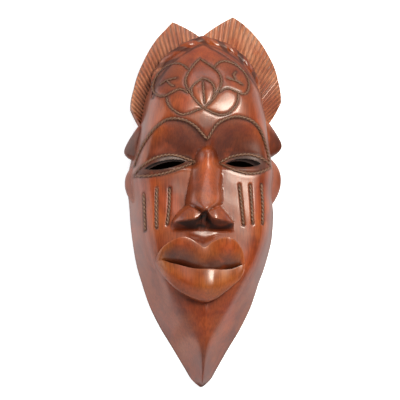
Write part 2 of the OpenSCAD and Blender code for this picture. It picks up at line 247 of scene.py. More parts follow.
def chin_ridge(x, z):
    return 2.2 * np.exp(-np.abs(x - 1) / 5) * ease(18, 50, z) * (1 - ease(92, 112, z))


def tool_marks(x, z):
    """The faint unevenness that a gouge and a scraper leave."""
    return (0.22 * np.sin(x / 9.5 + 1.3 * np.sin(z / 31)) * np.sin(z / 17 + 0.7 * np.sin(x / 23))
            + 0.12 * np.sin(x / 5.1 + z / 12.7) * np.sin(z / 7.9 - x / 14.3))


def relief(x, z):
    ground = sockets(x, z) + eyelids(x, z)
    out = nose(x, z, ground) + philtrum(x, z) + chin_ridge(x, z) + tool_marks(x, z)
    rope = from_lines(x, z, [*BROWS.values(), *EYES.values(), *LEAVES.values()])
    scar = from_lines(x, z, SCARS.values())
    edge = from_lines(x, z, [PANEL_EDGE])
    out -= 1.1 * np.exp(-((rope / 2.9) ** 2))
    out -= 1.3 * np.exp(-((scar / 2.3) ** 4))
    out -= 1.7 * np.exp(-((edge / 1.7) ** 2))
    return out


# A thin cut line between the brow's panel and the rolled hair
PANEL_EDGE = [(-70, 392), (-64, 407), (-56, 420), (-46, 432), (-35, 442.5), (-20, 453), (-3, 463),
              (10, 456), (22, 448.5), (42, 434), (60, 417.5), (72, 402)]


def head_profile(z, columns):
    """Points x, depth of a level cut through the head, evenly spread and closer together in front."""
    w, d, p, k = (curve(HEAD, z, c) for c in (1, 2, 3, 4))
    a = np.linspace(0, 1, 240)
    b = 1 - a
    mid = 2 * k * a * b
    total = b * b + mid + a * a
    x, depth = w * (mid * p + a * a) / total, d * (b * b + mid) / total
    dx, dd = np.diff(x), np.diff(depth)
    weight = np.hypot(dx, dd) * (0.5 + 0.5 * np.abs(dx) / np.maximum(np.hypot(dx, dd), 1e-9))
    length = np.concatenate([[0], np.cumsum(weight)])
    at = np.linspace(0, length[-1], columns // 2 + 1)
    x, depth = np.interp(at, length, x), np.interp(at, length, depth)
    left, right = ((w + curve(SIDES, z, c)) / w for c in (1, 2))
    return np.concatenate([-x[:0:-1] * left, x * right]), np.concatenate([depth[:0:-1], depth])


# Rise of the right side over the left at the top of the carving, per unit of width
LEAN = 0.05


def leaning(x, z):
    return z + LEAN * x * ease(200, 330, z)


def deselect():
    if bpy.context.object and bpy.context.object.mode == "EDIT":
        bpy.ops.object.mode_set(mode="OBJECT")
    bpy.ops.object.select_all(action="DESELECT")


def shaped_grid(name, x, y, z):
    """A grid moved vertex by vertex to the places given, in millimetres over the chin's point."""
    deselect()
    rows, columns = x.shape
    bpy.ops.mesh.primitive_grid_add(x_subdivisions=columns - 1, y_subdivisions=rows - 1, size=2)
    sheet = bpy.context.object
    sheet.name = name
    co = np.empty(len(sheet.data.vertices) * 3)
    sheet.data.vertices.foreach_get("co", co)
    co = co.reshape(-1, 3)
    i = np.rint((co[:, 0] + 1) / 2 * (columns - 1)).astype(int)
    j = np.rint((co[:, 1] + 1) / 2 * (rows - 1)).astype(int)
    co = np.stack([x[j, i], y[j, i], z[j, i]], axis=1) * MM + (0, 0, CHIN)
    sheet.data.vertices.foreach_set("co", co.ravel())
    sheet.data.update()
    return sheet


def close_at_wall(sheet, wall=0.0):
    """Carries the open edge of a sheet back to a flat face on the wall's plane."""
    deselect()
    sheet.select_set(True)
    bpy.context.view_layer.objects.active = sheet
    bpy.ops.object.mode_set(mode="EDIT")
    bpy.ops.mesh.select_all(action="DESELECT")
    bpy.ops.mesh.select_mode(type="EDGE")
    bpy.ops.mesh.select_non_manifold(extend=False, use_wire=False, use_multi_face=False,
                                     use_non_contiguous=False, use_verts=False)
    bpy.ops.mesh.extrude_edges_move()
    bpy.ops.transform.resize(value=(1, 0, 1), center_override=(0, wall * MM, 0))
    bpy.ops.mesh.edge_face_add()
    bpy.ops.mesh.select_mode(type="VERT")
    bpy.ops.mesh.select_all(action="SELECT")
    bpy.ops.mesh.remove_doubles(threshold=0.00002)
    bpy.ops.mesh.normals_make_consistent(inside=False)
    bpy.ops.object.mode_set(mode="OBJECT")


def heights(stops):
    """Levels from a list of (from, to, spacing)."""
    levels = [np.arange(low, high, gap) for low, high, gap in stops]
    return np.unique(np.concatenate([*levels, [stops[-1][1]]]).round(3))


fine = 1.0
levels = heights([(2.5, 12, 1.3 / fine), (12, 100, 2.4 / fine), (100, 200, 1.9 / fine), (200, 345, 1.25 / fine),
                  (345, 455, 1.35 / fine), (455, 475, 1.2 / fine)])
columns = 2 * int(116 * fine)
profiles = [head_profile(z, columns) for z in levels]
x = np.array([p[0] for p in profiles])
depth = np.array([p[1] for p in profiles])
z = leaning(x, np.repeat(levels[:, None], x.shape[1], axis=1))
inside = ease(0, 8, depth)
depth = np.maximum(depth + relief(x, z) * inside, 0)
head = shaped_grid("carving", x, -depth, z)
close_at_wall(head)

# The hollow, so far behind the plain head's front and inside its sides. The chin and the crown stay solid.
FRONT_WALL, SIDE_WALL = 27, 14
HOLLOW_LOW, HOLLOW_HIGH = 60, 402
fall = np.linspace(0, 180, 41)
share = (1 - np.abs(np.cos(np.radians(fall))) ** 5) ** 0.4 + 0.02
hollow_levels = HOLLOW_LOW + (HOLLOW_HIGH - HOLLOW_LOW) * (1 - np.cos(np.radians(fall))) / 2
rows = []
for level, part in zip(hollow_levels, share):
    w, d, p = (curve(HEAD, level, c) for c in (1, 2, 3))
    a = np.abs(np.linspace(-1, 1, 41)) ** 1.35
    b = 1 - a
    mid = 2 * 1.1 * a * b
    total = b * b + mid + a * a
    rows.append((np.sign(np.linspace(-1, 1, 41)) * (w - SIDE_WALL) * part * (mid * p * 0.9 + a * a) / total,
                 ((d - FRONT_WALL) * part * (b * b + mid) - a * a) / total))
x = np.array([r[0] for r in rows])
depth = np.array([r[1] for r in rows])
z = leaning(x, np.repeat(hollow_levels[:, None], x.shape[1], axis=1))
chisel = 0.9 * np.sin(x / 6.5 + 0.8 * np.sin(z / 11)) * np.sin(z / 9.5) * ease(2, 12, depth)
hollow = shaped_grid("hollow", x, -np.maximum(depth + chisel, -1), z)
close_at_wall(hollow, 1)

# The eyes, to be cut right through as long pointed slits. Each is its middle's x and height, half its
# length, half its opening, and how much its line rises per unit of x.
SLITS = [(-54.5, 293.8, 27.5, 6.3, 0.2), (51, 297.5, 24, 6.2, 0.0)]
slits = []
for middle, level, half, rise, tilt in SLITS:
    across = np.linspace(-1, 1, 33)
    span = (1 - across ** 2) ** 0.85 * rise
    height = level + tilt * across * half
    x = np.repeat((middle + across * half)[:, None], 9, axis=1)
    up = np.linspace(-1, 1, 9)[None, :]
    z = height[:, None] + up * (span[:, None] + 0.02)
    slit = shaped_grid("eye_slit", x, np.full(x.shape, -150.0), z)
    close_at_wall(slit)
    slits.append(slit)


def combine(block, tool, operation):
    """Joins a piece to the block, or cuts it from the block, and throws the tool away."""
    deselect()
    block.select_set(True)
    bpy.context.view_layer.objects.active = block
    change = block.modifiers.new("carve", "BOOLEAN")
    change.object = tool
    change.operation = operation
    change.solver = "MANIFOLD"
    bpy.ops.object.modifier_apply(modifier=change.name)
    bpy.data.objects.remove(tool, do_unlink=True)


# ---------------------------------------------------------------------------
# The lips. A broad heart-shaped plate left standing on the face, its upper lip
# hollowed back to the line of the mouth and its lower lip cut to a soft ridge.
# ---------------------------------------------------------------------------
MOUTH_TOP = [(-66.5, 163), (-65, 171), (-60, 179), (-52, 186), (-39, 192), (-30.5, 193.5), (-23.5, 191.5),
             (-12, 185), (-3, 180), (6, 186.5), (16.5, 191.5), (27, 193.5), (38, 190), (45.5, 183), (50, 175),
             (52.5, 162)]
MOUTH_LINE = [(-66.5, 160.5), (-60, 163.5), (-48, 159.5), (-36, 156.5), (-24, 153), (-10, 151), (4, 151),
              (20, 150.5), (34, 152), (44, 156), (52.5, 159.5)]
MOUTH_BOTTOM = [(-66.5, 160), (-62, 151), (-52, 138.5), (-40.5, 126.5), (-26, 117), (-12, 111), (1, 108.5),
                (14, 113), (25, 121), (38, 132), (48, 142), (52, 151), (52.5, 159)]
# x, and how far these stand out: top edge, root of the upper lip, ledge and swell of the lower lip, bottom edge
LIPS_OUT = [
    (-66.5, 6.5, 6, 6, 6.5, 6),
    (-62, 8.5, 7, 7.5, 8, 7),
    (-55, 11, 1.5, 8.5, 10, 7.5),
    (-34, 17.5, -1.5, 11.5, 14.5, 9.5),
    (-16, 16, 3, 14, 16.5, 10.5),
    (-9, 14, 4.5, 15.2, 19, 11),
    (-4, 12.6, 5, 16, 20.8, 11.5),
    (2, 12, 5, 16.4, 21.3, 12),
    (8, 12.6, 5, 16, 20.8, 11.5),
    (13, 14, 4.5, 15, 18.6, 10.5),
    (20, 16, 3, 13, 15.4, 9.5),
    (30, 17.5, -1, 10.5, 12, 8),
    (44, 11, -0.5, 7.5, 8, 6.5),
    (49, 8.5, 6.5, 7, 8, 7),
    (52.5, 6.5, 6, 6, 6.5, 6),
]


def face_depth(xs, zs):
    """Depth of the head's plain front, before any relief, at places x, z."""
    levels = np.linspace(2.5, 475, 320)
    table = [head_profile(z, 120) for z in levels]
    depth = np.empty(xs.shape)
    i = np.clip((zs - 2.5) / 472.5 * 319, 0, 318.999)
    low = i.astype(int)
    for k in np.ndindex(xs.shape):
        a = np.interp(xs[k], *table[low[k]])
        b = np.interp(xs[k], *table[low[k] + 1])
        depth[k] = a + (b - a) * (i[k] - low[k])
    return depth


across = np.sin(np.linspace(-math.pi / 2, math.pi / 2, 97))
mouth_x = -7 + 59.5 * across
top, line, bottom = (curve(t, mouth_x) for t in (MOUTH_TOP, MOUTH_LINE, MOUTH_BOTTOM))
top, bottom = np.maximum(top, line + 0.3), np.minimum(bottom, line - 0.3)
edge_out, root_out, ledge_out, swell_out, lower_out = (curve(LIPS_OUT, mouth_x, c) for c in (1, 2, 3, 4, 5))
rows_z, rows_out = [], []
for t in np.linspace(0, 1, 21):  # lower lip, from its bottom edge up to its ledge
    rows_z.append(bottom + (line - bottom) * t)
    rows_out.append(lower_out + (swell_out - lower_out) * math.sin(t / 0.45 * math.pi / 2) ** 0.8 if t < 0.45 else
                    swell_out - (swell_out - ledge_out) * ((t - 0.45) / 0.55) ** 1.5)
for t in np.linspace(0, 1, 19):  # upper lip, from its root behind the ledge out to its top edge
    rows_z.append(line + (top - line) * (0.02 + 0.98 * t))
    rows_out.append(root_out + (edge_out - root_out) * math.sin(t * math.pi / 2) ** 0.65)
z = np.array(rows_z)
x = np.repeat(mouth_x[None, :], len(z), axis=0)
out = face_depth(x, z) + np.array(rows_out)
lips = shaped_grid("lips", x, -out, z)
close_at_wall(lips, -58)
deselect()
lips.select_set(True)
bpy.context.view_layer.objects.active = lips
rounding = lips.modifiers.new("worn_edges", "BEVEL")
rounding.width = 1.5 * MM
rounding.segments = 3
rounding.limit_method = "ANGLE"
rounding.angle_limit = math.radians(50)
bpy.ops.object.modifier_apply(modifier=rounding.name)
combine(head, lips, "UNION")

# ---------------------------------------------------------------------------
# The crest. Two flat wings of the same block standing up behind the crown, cut
# all over with V grooves that fan out like combed hair, and thinned to the edge.
# ---------------------------------------------------------------------------
CREST_LEFT = [(0, 190), (10.8, 217.5), (14, 210), (18.2, 202), (22.7, 192), (27.8, 180), (32.9, 169),
              (38, 157.5), (43.1, 148), (46.7, 140), (51, 116), (52.5, 106)]
CREST_RIGHT = [(0, 190), (10.8, 221.5), (14, 216), (18.2, 207), (22.7, 197), (27.8, 184.5), (32.9, 173),
               (38, 160), (43.1, 148.5), (46.7, 140), (51, 116), (52.5, 106)]
GROOVES = 28
# The grooves fan out over this many degrees from a point at this height, one wing wider than the other
FAN, FAN_FROM = 52.5, 288
WIDER_LEFT, WIDER_RIGHT = 0.935, 1.065
CREST_TIP = 10.8
CREST_ROOT = 84
for side, breadth, edge in ((-1, WIDER_LEFT, CREST_LEFT), (1, WIDER_RIGHT, CREST_RIGHT)):
    angle = np.linspace(-0.4, FAN, GROOVES * 8 + 1)
    tip = int(np.argmin(np.abs(angle - CREST_TIP)))
    angle[tip] = CREST_TIP
    outer = np.interp(angle, *np.array(edge).T)
    out = np.linspace(0, 1, 15) ** 0.8
    r = CREST_ROOT + (outer[:, None] - CREST_ROOT) * out[None, :]
    wave = np.abs((angle / FAN * GROOVES) % 1 * 2 - 1)
    run_out = 1 - 0.75 * ease(outer[:, None] - 3.5, outer[:, None] - 0.5, r)
    thick = 31 - 19 * (r - CREST_ROOT) / 110
    depth = thick - 2.6 * (1 - wave[:, None] ** 1.4) * run_out
    turn = np.radians(angle)[:, None]
    x = side * breadth * r * np.sin(turn)
    z = leaning(x, FAN_FROM + r * np.cos(turn))
    wing = shaped_grid("crest", x, -depth, z)
    close_at_wall(wing)
    combine(head, wing, "UNION")

# ---------------------------------------------------------------------------
# The roll of hair. A twisted band lying along the edge of the crown, between
# the brow's smooth panel and the crest, left in the round and scored with folds.
# ---------------------------------------------------------------------------
ROLL = [(-71, 386), (-68.5, 400), (-65.5, 412), (-60, 425), (-52, 437), (-44, 445.5), (-33, 454), (-22, 460.5),
        (-10, 466), (-1, 469.5), (9, 467), (18, 464.5), (28, 460.5), (38, 455), (48, 448), (55, 441), (62, 432.5),
        (69, 422), (75, 410), (79, 398), (82, 386)]
ROLL_STEP = 1.6
# Radians of a fold for each millimetre along the roll, which is one fold in 30 mm
FOLDING = math.pi / 15
along = smooth_path(ROLL, ROLL_STEP)
run = np.linspace(0, 1, len(along))
across = np.gradient(along, axis=0)
across /= np.linalg.norm(across, axis=1)[:, None]
outward = np.stack([-across[:, 1], across[:, 0]], axis=1)
turn = np.linspace(0, 2 * math.pi, 31)
size = 6.8 * (0.3 + 0.7 * ease(0, 0.2, run) * ease(0, 0.2, 1 - run))
distance = run * ROLL_STEP * len(along)
fold = np.maximum(0, np.cos(1.5 * turn[None, :] - distance[:, None] * FOLDING)) ** 0.6
fold = size[:, None] * (0.86 + 0.2 * fold)
fold[:, -1] = fold[:, 0]
ground = np.convolve(np.pad(np.maximum(face_depth(along[:, 0], along[:, 1] - LEAN * along[:, 0]), 27), 4, "edge"),
                     np.ones(9) / 9, mode="valid")
x = along[:, :1] + outward[:, :1] * fold * np.cos(turn)
z = along[:, 1:] + outward[:, 1:] * fold * np.cos(turn)
roll = shaped_grid("roll", x, -(ground[:, None] - 3.5 + 1.15 * fold * np.sin(turn)), z)


def close_tube(tube):
    """Joins the long seam of a rolled-up grid and closes both ends."""
    deselect()
    tube.select_set(True)
    bpy.context.view_layer.objects.active = tube
    bpy.ops.object.mode_set(mode="EDIT")
    bpy.ops.mesh.select_all(action="SELECT")
    bpy.ops.mesh.remove_doubles(threshold=0.00002)
    bpy.ops.mesh.select_mode(type="EDGE")
    bpy.ops.mesh.select_non_manifold(extend=False, use_wire=False, use_multi_face=False,
                                     use_non_contiguous=False, use_verts=False)
    bpy.ops.mesh.edge_face_add()
    bpy.ops.mesh.select_mode(type="VERT")
    bpy.ops.mesh.select_all(action="SELECT")
    bpy.ops.mesh.normals_make_consistent(inside=False)
    bpy.ops.object.mode_set(mode="OBJECT")


close_tube(roll)
combine(head, roll, "UNION")

# ---------------------------------------------------------------------------
# The ears. Each is an upper fin and a long lobe, cut in one with the side of
# the head, well behind the face.
# ---------------------------------------------------------------------------
FIN = [(70, 362), (84, 360), (90, 356), (97, 346.5), (103, 337), (107.5, 327), (106.5, 320), (99, 313), (84, 308),
       (70, 325)]
LOBE = [(74, 312), (90, 308), (99, 301), (105.5, 289), (106.5, 275), (103, 262), (96, 250), (88, 243), (78, 244),
        (72, 280)]
for side, growth in ((-1, 0.975), (1, 1.015)):
    for outline, front, rim, back in ((FIN, 36, 26, 13), (LOBE, 44, 26, 12)):
        loop = smooth_path([(side * growth * px, pz) for px, pz in outline], 1.2, closed=True)
        loop[:, 1] = leaning(loop[:, 0], loop[:, 1])
        centre = loop.mean(axis=0)
        bearing = np.arctan2(loop[:, 1] - centre[1], loop[:, 0] - centre[0])
        reach = np.linalg.norm(loop - centre, axis=1)
        order = np.argsort(bearing)
        deselect()
        bpy.ops.mesh.primitive_uv_sphere_add(segments=72, ring_count=40, radius=1)
        ear = bpy.context.object
        co = np.array([v.co for v in ear.data.vertices])
        angle = np.arctan2(co[:, 1], co[:, 0])
        radius = np.interp(angle, bearing[order], reach[order], period=2 * math.pi)
        radius *= np.clip(np.hypot(co[:, 0], co[:, 1]), 0, 1) ** 0.7
        ex, ez = centre[0] + radius * np.cos(angle), centre[1] + radius * np.sin(angle)
        ahead = rim + (front - rim) * (1 - ease(80, 108, np.abs(ex)))
        lift = np.sign(co[:, 2]) * np.abs(co[:, 2]) ** 0.6
        ey = -((ahead + back) / 2 + lift * (ahead - back) / 2)
        place = np.stack([ex, ey, ez], axis=1) * MM + (0, 0, CHIN)
        ear.data.vertices.foreach_set("co", place.ravel())
        deselect()
        ear.select_set(True)
        bpy.context.view_layer.objects.active = ear
        bpy.ops.object.mode_set(mode="EDIT")
        bpy.ops.mesh.select_all(action="SELECT")
        bpy.ops.mesh.normals_make_consistent(inside=False)
        bpy.ops.object.mode_set(mode="OBJECT")
        combine(head, ear, "UNION")

# ---------------------------------------------------------------------------
# What is cut from the back: the hanger's recess, a flat-bottomed slot with square
# corners that sinks the steel hanger below the wall's face, then the gouged hollow
# and the two eyes. They are cut last, through everything that stands on the block.
# ---------------------------------------------------------------------------
ring_low, ring_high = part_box("hanger_ring")
strap_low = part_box("hanger_strap")[0]
deselect()
floor_y = strap_low[1]
room = 2.6 * MM
low = Vector((ring_low[0] - room, floor_y, strap_low[2] - room))
high = Vector((ring_high[0] + room, 0.002, 12.2 * MM))
bpy.ops.mesh.primitive_cube_add(size=1, location=(low + high) / 2)
slot = bpy.context.object
slot.scale = high - low
bpy.ops.object.transform_apply(location=True, rotation=True, scale=True)
for cutter in (slot, hollow, *slits):
    combine(head, cutter, "DIFFERENCE")

deselect()
head.select_set(True)
bpy.context.view_layer.objects.active = head
bpy.ops.object.shade_smooth_by_angle(angle=math.radians(38))
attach(head, "mask")
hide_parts("carved_mask")

# ---------------------------------------------------------------------------
# The rope borders and the cheek scars. Each is left standing as a raised cord of
# wood and notched across, slantwise, so that it looks like a twisted rope.
# ---------------------------------------------------------------------------
rope_parts = []
ROPE_STEP = 0.5


def lay_rope(points, radius, pitch):
    """A twisted rope of wood laid along the carved face."""
    path = smooth_path(points, ROPE_STEP)
    depth = []
    for px, pz in path:
        hit, where, _, _ = head.ray_cast(Vector((px * MM, -0.3, CHIN + pz * MM)), Vector((0, 1, 0)))
        depth.append(-where.y / MM if hit else depth[-1])
    depth = np.array(depth)
    padded = np.concatenate([np.repeat(depth[:1], 3), depth, np.repeat(depth[-1:], 3)])
    depth = np.convolve(padded, np.ones(7) / 7, mode="valid")
    line = np.stack([path[:, 0], -depth - 0.35 * radius, path[:, 1]], axis=1)
    way = np.gradient(line, axis=0)
    way /= np.linalg.norm(way, axis=1)[:, None]
    outward = np.array([0, -1.0, 0]) - way * (way @ np.array([0, -1.0, 0]))[:, None]
    outward /= np.linalg.norm(outward, axis=1)[:, None]
    across = np.cross(way, outward)
    turn = np.linspace(0, 2 * math.pi, 11)
    run = np.arange(len(line)) * ROPE_STEP
    ends = np.minimum(1, 0.35 + np.minimum(run, run[::-1]) / (1.6 * radius))
    r = radius * ends[:, None] * (1 + 0.24 * np.cos(2 * turn[None, :] - 2 * math.pi * run[:, None] / pitch))
    spot = (line[:, None] + outward[:, None] * (r * np.sin(turn))[..., None]
            + across[:, None] * (r * np.cos(turn))[..., None])
    rope = shaped_grid("rope", spot[..., 0], spot[..., 1], spot[..., 2])
    close_tube(rope)
    rope_parts.append(rope)


# the rope's radius, and the distance from notch to notch
for points in [*BROWS.values(), *EYES.values()]:
    lay_rope(points, 1.6, 5.2)
for points in LEAVES.values():
    lay_rope(points, 1.25, 4.8)
for points in SCARS.values():
    lay_rope(points, 1.85, 5.6)
deselect()
for rope in rope_parts:
    rope.select_set(True)
ropes = rope_parts[0]
bpy.context.view_layer.objects.active = ropes
bpy.ops.object.join()
ropes.name = "rope_borders"
deselect()
ropes.select_set(True)
bpy.context.view_layer.objects.active = ropes
bpy.ops.object.shade_smooth_by_angle(angle=math.radians(60))
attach(ropes, "mask")

# ---------------------------------------------------------------------------
# Wood finish. Mahogany-red hardwood, scraped smooth, stained, rubbed with wax
# and polished: broad warm and dark clouds of colour, fine grain along the
# height, dark wax and painted shade left in every cut, painted shade in the hollows,
# painted highlight on some high places, and a clear bright shine on the high faces.
# ---------------------------------------------------------------------------


def srgb(code):
    """An sRGB hex colour as linear numbers."""
    parts = [int(code[i:i + 2], 16) / 255 for i in (1, 3, 5)]
    return (*[c / 12.92 if c <= 0.04045 else ((c + 0.055) / 1.055) ** 2.4 for c in parts], 1.0)


def node(tree, kind, settings=None, **links):
    """Adds a node with its settings, and links or sets its inputs, by name or as i and a number."""
    made = tree.nodes.new(kind)
    for key, value in (settings or {}).items():
        if key == "stops":
            points = made.color_ramp.elements
            points[0].position, points[0].color = value[0]
            points[1].position, points[1].color = value[-1]
            for position, colour in value[1:-1]:
                points.new(position).color = colour
        else:
            setattr(made, key, value)
    for key, value in links.items():
        numbered = key[0] == "i" and key[1:].isdigit()
        socket = made.inputs[int(key[1:]) if numbered else key.replace("_", " ")]
        if isinstance(value, bpy.types.NodeSocket):
            tree.links.new(value, socket)
        else:
            socket.default_value = value
    return made


# The stain at each place, with painted light and shade in it. Dark wax and painted shade fill the cuts round the
# ropes, the scars and the crest's grooves, painted shade darkens the hollows, the undersides and the slits, and the
# high parts were rubbed thin and warm, some of them with a painted highlight.
co = np.empty(len(head.data.vertices) * 3)
head.data.vertices.foreach_get("co", co)
co = co.reshape(-1, 3)
vx, vy, vz = co[:, 0] / MM, -co[:, 1] / MM, (co[:, 2] - CHIN) / MM
front = ease(18, 40, vy)
rope = from_lines(vx, vz, [*BROWS.values(), *EYES.values(), *LEAVES.values()])
scar = from_lines(vx, vz, SCARS.values())
edge = from_lines(vx, vz, [PANEL_EDGE])
# Dark wax and painted shade in the cuts beside the ropes, the scars and the panel's edge line
wax_and_painted_shade = np.maximum(0.95 * np.exp(-((rope / 2.5) ** 2)), 0.9 * np.exp(-((scar / 2.5) ** 4))) * front
wax_and_painted_shade = np.maximum(wax_and_painted_shade, 0.8 * np.exp(-((edge / 1.7) ** 2)) * front)
# Painted shade as dark lines in the folds of the rolled hair and along both of its borders
near = np.flatnonzero((np.abs(vx) < 95) & (vz > 375) & (vy > 22))
gap = np.hypot(vx[near, None] - along[None, :, 0], vz[near, None] - along[None, :, 1])
step = np.argmin(gap, axis=1)
aside = (vx[near] - along[step, 0]) * outward[step, 0] + (vz[near] - along[step, 1]) * outward[step, 1]
aside = np.clip(aside / size[step], -1, 1)
winding = np.cos(1.5 * np.arccos(aside) - distance[step] * FOLDING)
on_roll = 1 - ease(0.9, 1.1, gap.min(axis=1) / size[step])
in_folds = on_roll * 0.75 * ease(0.1, 0.7, -winding)
borders = 0.7 * np.exp(-((gap.min(axis=1) / size[step] - 1.08) / 0.16) ** 2)
wax_and_painted_shade[near] = np.maximum(wax_and_painted_shade[near], np.maximum(in_folds, borders))
# Painted shade and dark wax in the bottoms of the crest's grooves
level = vz - LEAN * vx
fan_angle = np.degrees(np.arctan2(np.abs(vx) / np.where(vx < 0, WIDER_LEFT, WIDER_RIGHT), level - FAN_FROM))
groove = np.abs((fan_angle / FAN * GROOVES) % 1 * 2 - 1)
crest = ease(345, 366, vz) * (1 - ease(31, 34.5, vy)) * ease(3, 7, vy)
wax_and_painted_shade = np.maximum(wax_and_painted_shade, crest * 0.7 * (1 - groove) ** 1.5)
# The eyelids between the ropes and the slits are darkened and made rougher
almond = np.zeros(len(vx))
for middle, at, half, tilt in EYELIDS:
    almond = np.maximum(almond, 1 - ((vx - middle) / half) ** 2 - ((vz - at - tilt * (vx - middle)) / 14) ** 2)
wax_and_painted_shade = np.maximum(wax_and_painted_shade, 0.75 * ease(0, 0.25, almond) * front)
# Painted shade in the eye sockets, darker further below the brow, and none at their outer ends
below_brow = np.where(vx < 0, curve(BROW_LEFT, -vx), curve(BROW_RIGHT, vx)) - vz
painted_shade = 0.75 * ease(2, 34, below_brow) * (1 - ease(74, 88, np.abs(vx))) * ease(298, 306, vz) * front
under_nose = curve(UNDER_NOSE, np.abs(vx + 4)) - vz
nose_shade = ease(0, 2.5, under_nose) * ease(203, 206, vz) * (np.abs(vx + 4) < 42) * ease(84, 90, vy)
# Spots of painted shade: x, height, how far it spreads each way, how strong
PAINTED_SHADE_SPOTS = [(0, 347, 16, 9, 0.5), (0, 42, 11, 24, 0.6), (-46, 169, 14, 9, 0.9), (-13, 270, 6, 30, 0.45),
        (0, 322, 12, 6, 0.6), (38, 164, 11, 7, 0.6)]
for mx, mz, wide, tall, strong in PAINTED_SHADE_SPOTS:
    painted_shade = np.maximum(painted_shade, strong * np.exp(-((vx - mx) / wide) ** 2 - ((vz - mz) / tall) ** 2) * front)
# Painted shade on the ears' upper fins
fins = ease(87, 95, np.abs(vx)) * (1 - ease(352, 362, vz)) * ease(308, 314, vz)
painted_shade = np.maximum(painted_shade, 0.8 * fins)
# Painted shade in the upper lip, darker further down from its top edge
on_lips = (vx > -66) & (vx < 52) & (vz < curve(MOUTH_TOP, vx)) & (vz > curve(MOUTH_LINE, vx)) & (vy > 60)
on_mouth = (ease(-67, -62, vx) * (1 - ease(48, 53, vx)) * (vz < curve(MOUTH_TOP, vx)) * (vz > curve(MOUTH_BOTTOM, vx))
            * (vy > curve(HEAD, vz, 2) - 2))
depth_in_lip = ease(6, 30, curve(MOUTH_TOP, vx) - vz)
painted_shade = np.maximum(painted_shade, on_lips * 0.75 * depth_in_lip)
# Painted shade, near black, in the notch under the nose and on the walls of the eye slits
painted_shade_in_cuts = ease(0.5, 2.5, under_nose) * ease(203, 206, vz) * (1 - ease(8, 13, np.abs(vx + 4))) * ease(84, 90, vy)
for middle, at, half, rise, tilt in SLITS:
    across = np.clip((vx - middle) / half, -1, 1)
    away = np.abs(vz - at - tilt * (vx - middle)) - (1 - across ** 2) ** 0.85 * rise
    painted_shade_in_cuts = np.maximum(painted_shade_in_cuts, (away < 0.3) * (np.abs(vx - middle) < half + 0.3) * (vy > 2))
# A painted highlight, a pale line along the top and bottom edges of the lips
rim = from_lines(vx, vz, [MOUTH_TOP, MOUTH_BOTTOM])
lip_rim_highlight = np.exp(-((rim / 1.1) ** 2)) * (vy > curve(HEAD, vz, 2) + 1)
# The back and the hollow are left as the gouge cut them, stained thinly and not polished
facing = np.empty(len(head.data.vertices) * 3)
head.data.vertices.foreach_get("normal", facing)
raw = ease(0.1, 0.35, facing[1::3]) * (vy < curve(HEAD, vz, 2) - 20) * (np.abs(vx) < 92)
raw = np.maximum(raw, 1 - ease(0.5, 3, vy))
# Warm spots on high places, partly wear rubbed thin and partly painted highlight: x, height, how far it spreads each
# way, how strong
RUBBED_AND_PAINTED_HIGHLIGHT = [
    (72, 240, 14, 34, 0.9), (-68, 238, 16, 34, 0.7), (28, 180, 18, 12, 1.0), (34, 132, 16, 12, 0.3),
    (36, 84, 14, 34, 0.9), (-30, 136, 22, 12, 0.5), (-26, 184, 12, 8, 0.5), (-30, 376, 18, 10, 0.5),
    (0, 78, 16, 34, 0.5), (-62, 352, 14, 20, 0.5), (64, 352, 14, 20, 0.5), (0, 286, 9, 34, 0.9),
    (58, 168, 12, 24, 0.7), (-4, 452, 26, 18, 0.8),
]
rubbed_and_painted_highlight = np.zeros(len(vx))
for mx, mz, wide, tall, strong in RUBBED_AND_PAINTED_HIGHLIGHT:
    rubbed_and_painted_highlight = np.maximum(rubbed_and_painted_highlight, strong * np.exp(-((vx - mx) / wide) ** 2 - ((vz - mz) / tall) ** 2) * front)


def toward_stain_and_painted_light(colour, new_colour, amount):
    return colour + (np.array(new_colour) - colour) * np.clip(amount, 0, 1)[:, None]


tint = np.tile(np.array(srgb("#8d4a26")), (len(vx), 1))
tint = toward_stain_and_painted_light(tint, srgb("#9f5f27"), 0.6 * on_mouth)
tint = toward_stain_and_painted_light(tint, srgb("#b05722"), rubbed_and_painted_highlight)
# The crest is painted paler, partly its own lighter tone and partly painted light
tint = toward_stain_and_painted_light(tint, srgb("#cd9375"), crest)
tint = toward_stain_and_painted_light(tint, srgb("#c08059"), 0.7 * lip_rim_highlight)
tint = toward_stain_and_painted_light(tint, srgb("#47190c"), painted_shade * (1 - 0.8 * rubbed_and_painted_highlight))
tint = toward_stain_and_painted_light(tint, srgb("#371d14"), wax_and_painted_shade)
tint = toward_stain_and_painted_light(tint, srgb("#2c0f07"), nose_shade)
tint = toward_stain_and_painted_light(tint, srgb("#1d0d07"), painted_shade_in_cuts)
tint = toward_stain_and_painted_light(tint, srgb("#76492e"), raw)
stain = head.data.attributes.new("stain", "FLOAT_COLOR", "POINT")
stain.data.foreach_set("color", tint.ravel())
wax_lies = head.data.attributes.new("wax", "FLOAT", "POINT")
wax_lies.data.foreach_set("value", np.clip(np.maximum.reduce([wax_and_painted_shade, raw, painted_shade_in_cuts, nose_shade]), 0, 1))

wood = bpy.data.materials.new("waxed_mahogany")
wood.use_nodes = True
tree = wood.node_tree
tree.nodes.clear()
place = node(tree, "ShaderNodeTexCoord").outputs["Object"]
